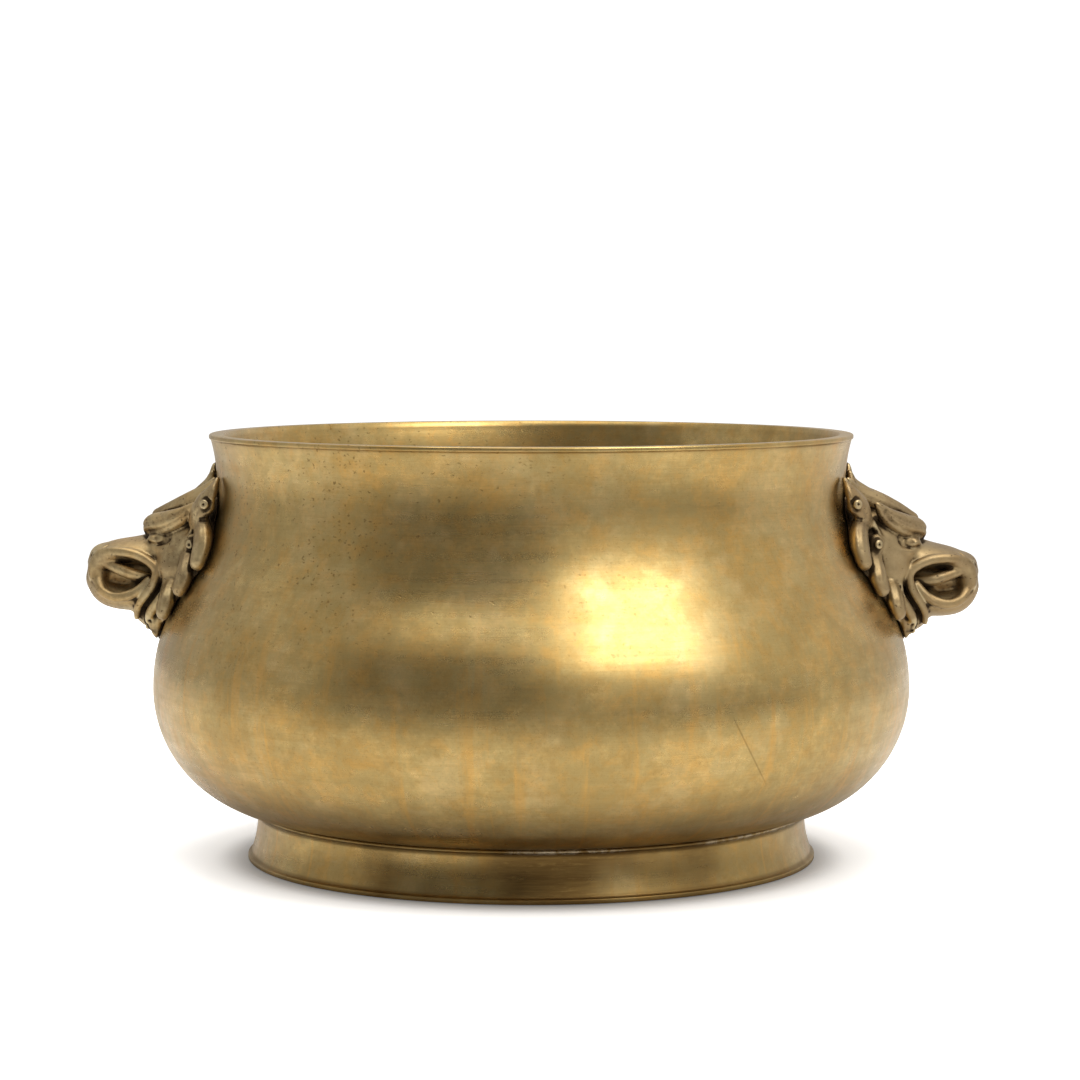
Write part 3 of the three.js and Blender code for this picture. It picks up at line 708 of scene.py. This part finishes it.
def model_mane():
    """Broad locks from the ear down to the beard, each by its places on the wall, and a curl on the cheek."""
    locks = [[(19.5, 8.6, 3.0), (26.0, 4.2, 4.6), (28.4, -1.0, 3.1)],
             [(17.6, 0.4, 3.0), (23.2, -4.8, 4.2), (24.8, -8.2, 2.7)],
             [(12.8, -7.2, 2.9), (17.6, -12.0, 4.2), (19.2, -14.8, 2.8)],
             [(6.0, -12.6, 2.4), (9.0, -17.6, 3.1), (7.2, -22.6, 0.6)]]
    proud, depth = (3.3, 2.6, 2.1), (2.0, 2.5, 2.1)
    for lock in locks:
        stations = [(on_wall(min(p, 1.2 * width), side, rise), width, min(deep, width))
                    for (side, rise, width), p, deep in zip(lock, proud, depth)]
        strip(stations, sideways(0.3))
        chase(stations, sideways(0.3), (-0.45, 0.1, 0.6, 0.95), 0.36, 0.25, 0.97)
    curl(face(0.2, 19.8, 3.2), (0.3, 1.0, 0.0), 2.7)


def skin(field):
    """The surface where the field is nought, by surface nets, as places in grid steps and quads."""
    inside = field < 0
    corners = [(i, j, k) for i in (0, 1) for j in (0, 1) for k in (0, 1)]
    size = np.array(field.shape) - 1
    count = sum(inside[i:i + size[0], j:j + size[1], k:k + size[2]].astype(int) for i, j, k in corners)
    cells = np.argwhere((count > 0) & (count < 8))
    number = -np.ones(size, int)
    number[tuple(cells.T)] = np.arange(len(cells))
    total, hits = np.zeros((len(cells), 3)), np.zeros(len(cells))
    for axis in range(3):
        step = np.eye(3, dtype=int)[axis]
        for corner in corners:
            if corner[axis]:
                continue
            start = cells + corner
            a, b = field[tuple(start.T)], field[tuple((start + step).T)]
            crossed = (a < 0) != (b < 0)
            t = np.where(crossed, a / np.where(crossed, a - b, 1), 0)
            total += (start + t[:, None] * step) * crossed[:, None]
            hits += crossed
    quads = []
    for axis in range(3):
        step = np.eye(3, dtype=int)[axis]
        u, v = np.eye(3, dtype=int)[(axis + 1) % 3], np.eye(3, dtype=int)[(axis + 2) % 3]
        ends = [slice(1, s) for s in size]
        ends[axis] = slice(0, size[axis])
        a = inside[tuple(ends)]
        b = inside[tuple(slice(e.start + d, e.stop + d) for e, d in zip(ends, step))]
        edges = np.argwhere(a != b) + [e.start for e in ends]
        ring = np.stack([number[tuple((edges - m).T)] for m in (u + v, v, 0 * u, u)], axis=1)
        leaving = inside[tuple(edges.T)]
        quads.append(np.where(leaving[:, None], ring, ring[:, ::-1]))
    return total / hits[:, None], np.vstack(quads)


def largest_piece(places, quads):
    """The biggest joined piece of a mesh, so that no loose crumb stays."""
    label = np.arange(len(places))
    while True:
        least = label[quads].min(axis=1)
        new = label.copy()
        for k in range(4):
            np.minimum.at(new, quads[:, k], least)
        new = new[new]
        if (new == label).all():
            break
        label = new
    main = np.bincount(label).argmax()
    keep = label == main
    moved = np.cumsum(keep) - 1
    return places[keep], moved[quads[keep[quads[:, 0]]]]


def read_field(field, places):
    """The field's value at places given in grid steps."""
    places = np.clip(places, 0, np.array(field.shape) - 1.001)
    low = places.astype(int)
    t = places - low
    total = 0
    for i in (0, 1):
        for j in (0, 1):
            for k in (0, 1):
                share = (np.abs(1 - i - t[:, 0]) * np.abs(1 - j - t[:, 1]) * np.abs(1 - k - t[:, 2]))
                total = total + share * field[low[:, 0] + i, low[:, 1] + j, low[:, 2] + k]
    return total


def mesh_normals(places, quads):
    """The way out of the mesh at each of its places."""
    n = np.cross(places[quads[:, 2]] - places[quads[:, 0]], places[quads[:, 3]] - places[quads[:, 1]])
    total = np.zeros_like(places)
    for k in range(4):
        np.add.at(total, quads[:, k], n)
    return total / np.maximum(np.linalg.norm(total, axis=1), 1e-12)[:, None]


def relaxed(places, quads, rounds, share=0.5):
    """The mesh with each place drawn towards the middle of its neighbours."""
    pairs = np.vstack([quads[:, [k, (k + 1) % 4]] for k in range(4)])
    pairs = np.vstack([pairs, pairs[:, ::-1]])
    number = np.bincount(pairs[:, 0], minlength=len(places))[:, None]
    for _ in range(rounds):
        total = np.zeros_like(places)
        np.add.at(total, pairs[:, 0], places[pairs[:, 1]])
        places = places + share * (total / number - places)
    return places


def blurred(field):
    """The field with each value drawn towards its neighbours."""
    for axis in range(3):
        field = np.moveaxis(field, axis, 0)
        mid = field.copy()
        mid[1:-1] = 0.25 * field[:-2] + 0.5 * field[1:-1] + 0.25 * field[2:]
        field = np.moveaxis(mid, 0, axis)
    return field


# Edge wear and painted shade: high edges rubbed bright, hollows dark with patina and painted shade, both
# broken up by a noise.
tree, given, result = group(
    "edge_wear_and_shade",
    [("Vector", "Vector", None), ("Ridge", "Float", 0.0), ("Hollow", "Float", 0.0),
     ("Break", "Float", 400.0)],
    [("Bright", "Float"), ("Dark Patina And Shade", "Float")])
broken = noise(tree, given["Vector"], given["Break"], 5.0, 0.65)
broken = product(tree, calc(tree, "SUBTRACT", broken, 0.5), 0.5)
edge_wear_and_shade = finish_group(tree, result, {
    "Bright": spread(tree, calc(tree, "ADD", given["Ridge"], broken), 0.25, 0.75),
    "Dark Patina And Shade": spread(tree, calc(tree, "ADD", given["Hollow"], broken), 0.16, 0.52)})

# The masks' finish. Too knobbly to be buffed, they keep a greyer brown skin that is dark in the hollows,
# partly patina and partly painted shade.
MASK_BRASS = (0.54, 0.42, 0.225, 1.0)
# Brown patina, also the painted shade on the right mask.
MASK_BROWN_AND_SHADE = (0.27, 0.185, 0.095, 1.0)
# Dark pits and patina, also the painted shade in the masks' hollows.
MASK_DARK_AND_SHADE = (0.060, 0.038, 0.020, 1.0)
MASK_BRIGHT = (0.80, 0.66, 0.39, 1.0)

patinated_brass, tree = new_material("patinated_brass")
where = add(tree, "TexCoord").outputs["Object"]
wear = use_group(tree, patina, {"Vector": where, "Cloud Size": 70.0, "Pit Size": 900.0, "Pits": 0.3})
marks = use_group(tree, buffing, {
    "Vector": calc_vector(tree, "MULTIPLY", where, (900.0, 900.0, 1600.0)), "Coarse": 0.8})
edges = use_group(tree, edge_wear_and_shade, {
    "Vector": where, "Ridge": add(tree, "Attribute", attribute_name="ridge").outputs["Fac"],
    "Hollow": add(tree, "Attribute", attribute_name="hollow").outputs["Fac"], "Break": 500.0})
# Painted shade: the right mask is coloured browner, to offset the softbox that lights it more.
right_mask_shade = spread(tree, add(tree, "SeparateXYZ", {0: where}).outputs[0], -0.05, 0.05, 0.0, 0.58)
colour = layered(tree, MASK_BRASS, (
    (wear["Brown"], 0.7, MASK_BROWN_AND_SHADE), (wear["Warm"], 0.3, BRASS_WARM), (right_mask_shade, 1.0, MASK_BROWN_AND_SHADE),
    (edges["Bright"], 0.45, MASK_BRIGHT), (edges["Dark Patina And Shade"], 0.96, MASK_DARK_AND_SHADE), (wear["Pitted"], 0.6, MASK_DARK_AND_SHADE)))
rough = piled(tree, 0.49, ((edges["Dark Patina And Shade"], 0.3), (edges["Bright"], -0.1), (wear["Pitted"], 0.2)))
relief = calc(tree, "SUBTRACT", product(tree, marks["Marks"], 0.5), wear["Pitted"])
bumps = add(tree, "Bump", {"Height": relief, "Strength": 0.3, "Distance": 0.00015})
surface = add(tree, "BsdfPrincipled", {
    "Base Color": colour, "Metallic": 1.0, "Roughness": rough, "Normal": bumps.outputs[0]})
add(tree, "OutputMaterial", {"Surface": surface.outputs[0]})

HOLLOW_PROBES = ((0.5, 0.4), (1.1, 0.35), (2.4, 0.25))      # how far off, in parts, and how much it counts
RIDGE_PROBE = 0.9 * PART
SEAM_BAND = 0.9 * PART                      # what of a mask lies this close to the wall is its seam
SEAM_SHADE_REACH = 0.8 * PART
NEAR_MASK_OUT, NEAR_MASK_LOW, NEAR_MASK_HIGH = 0.06, 0.055, 0.108
beside = np.concatenate([off_wall[:, :0:-1], off_wall], axis=1)
for name, (droop, stand, way) in MASKS.items():
    clay = np.full(clay_shape, 1.0)
    model_head()
    model_collar()
    model_mouth()
    model_eyes()
    model_crest()
    model_mane()
    whole = np.maximum(blurred(clay), SEAM - off_wall)
    whole = np.concatenate([whole[:, :0:-1], whole], axis=1)
    places, quads = largest_piece(*skin(whole))
    places = relaxed(places, quads, 1)
    outward = mesh_normals(places, quads)
    # Painted shade: how closed in each place is, counting the bowl's wall, is held as its hollow value and
    # darkens it.
    room = np.minimum(whole, beside + 0.8 * PART)
    hollows = 0
    for reach, weight in HOLLOW_PROBES:
        steps = reach * PART / CLAY_STEP
        hollows = hollows + weight * (1 - read_field(room, places + steps * outward) / (reach * PART))
    ridges = 1 + read_field(whole, places - RIDGE_PROBE / CLAY_STEP * outward) / RIDGE_PROBE
    places = places * CLAY_STEP + clay_low
    places[:, 1] -= CLAY_STEP * (clay_shape[1] - 1)
    places[:, :2] *= way
    mask = link_mesh(name + "_carved", places.tolist(), quads.tolist())
    hold(mask, "hollow", hollows)
    hold(mask, "ridge", ridges)
    mask.data.materials.append(patinated_brass)
    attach(mask, "root")
    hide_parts(name)

    # Painted shade darkens the bowl all along the mask's seam, where the mask shades the gap.
    near = places[np.abs(np.hypot(places[:, 0], places[:, 1]) - wall_radius(places[:, 2])) < SEAM_BAND]
    seam = KDTree(len(near))
    for i, place in enumerate(near):
        seam.insert(place, i)
    seam.balance()
    near_mask = bowl_places[:, 0] * way > NEAR_MASK_OUT
    near_mask &= (z_bowl > NEAR_MASK_LOW) & (z_bowl < NEAR_MASK_HIGH)
    for i in np.flatnonzero(outer_face & near_mask):
        away = seam.find(bowl_places[i])[2]
        painted_shade_at[i] = max(painted_shade_at[i], 0.2 * math.exp(-(away / SEAM_SHADE_REACH) ** 2))

hold(bowl, "painted_shade", painted_shade_at)


# The studio: a white table whose front edge lies just short of the picture, a darker floor before it, a
# white room that is brighter on the right, softboxes high on the right and above, a dark card on the left and
# a grey board low on the right. The camera sees only the table and plain white, and the polish the rest.
def plain_surface(name, shade, glow, shade_in_view, glow_in_view):
    """A matt grey surface that glows a little. The camera sees it lighter, except close to the foot, where a
    painted shadow darkens it.
    """
    material, tree = new_material(name)
    # Painted shadow: close to the foot the camera sees a darker colour and less glow, in place of a contact
    # shadow.
    from_foot = add(
        tree, "VectorMath", {0: add(tree, "TexCoord").outputs["Object"]}, operation="LENGTH").outputs[1]
    in_view = product(tree, add(tree, "LightPath").outputs["Is Camera Ray"],
                      spread(tree, from_foot, 0.075, 0.087, 0.1, 1.0))
    shown = blend_colour(tree, in_view, (shade, shade, shade, 1.0),
                         (shade_in_view, shade_in_view, shade_in_view, 1.0))
    surface = add(tree, "BsdfPrincipled", {
        "Base Color": shown, "Roughness": 0.6, "Emission Color": (1.0, 1.0, 1.0, 1.0),
        "Emission Strength": piled(tree, glow, [(in_view, glow_in_view - glow)])})
    add(tree, "OutputMaterial", {"Surface": surface.outputs[0]})
    return material


def sheet(name, left, right, near, far, height=0.0):
    """A flat sheet between four edges."""
    corners = [(left, near, height), (right, near, height), (right, far, height), (left, far, height)]
    return link_mesh(name, corners, [(0, 1, 2, 3)])


def toward(azimuth, elevation, distance):
    """A place seen from the bowl: degrees right of the camera, degrees up, and metres away."""
    a, e = math.radians(azimuth), math.radians(elevation)
    return (distance * math.sin(a) * math.cos(e), -distance * math.cos(a) * math.cos(e),
            distance * math.sin(e) + RIM_HEIGHT / 2)


def face_bowl(thing, azimuth, elevation, distance):
    """Sets a thing round the bowl, turned towards it."""
    thing.location = toward(azimuth, elevation, distance)
    thing.rotation_euler = (math.radians(90 - elevation), 0.0, math.radians(azimuth))


def softbox(name, azimuth, elevation, distance, width, tall, radiance):
    """An even rectangle of light, faced to the bowl."""
    lamp = bpy.data.lights.new(name, "AREA")
    lamp.shape = "RECTANGLE"
    lamp.size, lamp.size_y = width, tall
    lamp.energy = radiance * math.pi * width * tall
    lamp.color = (1.0, 0.99, 0.97)
    made = bpy.data.objects.new(name, lamp)
    face_bowl(made, azimuth, elevation, distance)
    bpy.context.scene.collection.objects.link(made)
    return made


TABLE_EDGE = -0.30
TABLE_BACK = 0.80
UNDER = -0.0002
table = sheet("table", -3, 3, TABLE_EDGE, TABLE_BACK, UNDER)
table.data.materials.append(plain_surface("white_table", 0.55, 0.10, 0.95, 0.48))
front_floor = sheet("front_floor", -6, 6, -6, TABLE_EDGE, UNDER)
front_floor.data.materials.append(plain_surface("grey_floor", 0.36, 0.07, 0.36, 0.07))

# The two softboxes on the right hang upright and are rolled a little, which slants the highlight.
for front_box in (softbox("softbox_right", 40, 49.2, 1.547, 0.92, 1.10, 1.9),
                  softbox("softbox_core", 41, 50.8, 1.54, 0.66, 1.10, 3.0)):
    front_box.rotation_euler.x, front_box.rotation_euler.y = math.radians(90), math.radians(19)
    front_box.visible_diffuse = False
softbox("softbox_above", 0, 88, 2.0, 2.2, 2.2, 1.5)
table_lamp = softbox("table_lamp", 0, 84, 2.2, 1.6, 1.6, 6.0)
table_lamp.visible_glossy = False

card = sheet("dark_card", -0.88, 0.88, -0.66, 0.66)
face_bowl(card, -26, 22.8, 1.35)
card.data.materials.append(plain_surface("dark_card", 0.02, 0.17, 0.02, 0.17))
skirting = sheet("skirting", -1.1, 1.1, -0.15, 0.15)
face_bowl(skirting, 46, 4, 1.42)
skirting.data.materials.append(plain_surface("skirting_grey", 0.05, 0.27, 0.05, 0.27))
for board in (card, skirting):
    board.visible_camera = False
    board.visible_shadow = False

world = bpy.data.worlds.new("white_room")
world.use_nodes = True
tree = world.node_tree
tree.nodes.clear()
ways = add(tree, "SeparateXYZ", {0: add(tree, "TexCoord").outputs["Generated"]}).outputs
room_light = product(tree, spread(tree, ways[0], -0.5, 0.9, 0.56, 0.80),
                     spread(tree, ways[2], 0.0, 0.4, 0.84, 1.02))
seen = add(tree, "Background", {"Color": (1.0, 1.0, 1.0, 1.0), "Strength": 1.1})
lit = add(tree, "Background", {"Color": (1.0, 0.99, 0.97, 1.0), "Strength": room_light})
both_ways = add(tree, "MixShader", {
    0: add(tree, "LightPath").outputs["Is Camera Ray"], 1: lit.outputs[0], 2: seen.outputs[0]})
add(tree, "OutputWorld", {"Surface": both_ways.outputs[0]})
bpy.context.scene.world = world

view = bpy.context.scene.view_settings
view.view_transform = "Standard"
view.look = "None"
view.exposure = 0.0
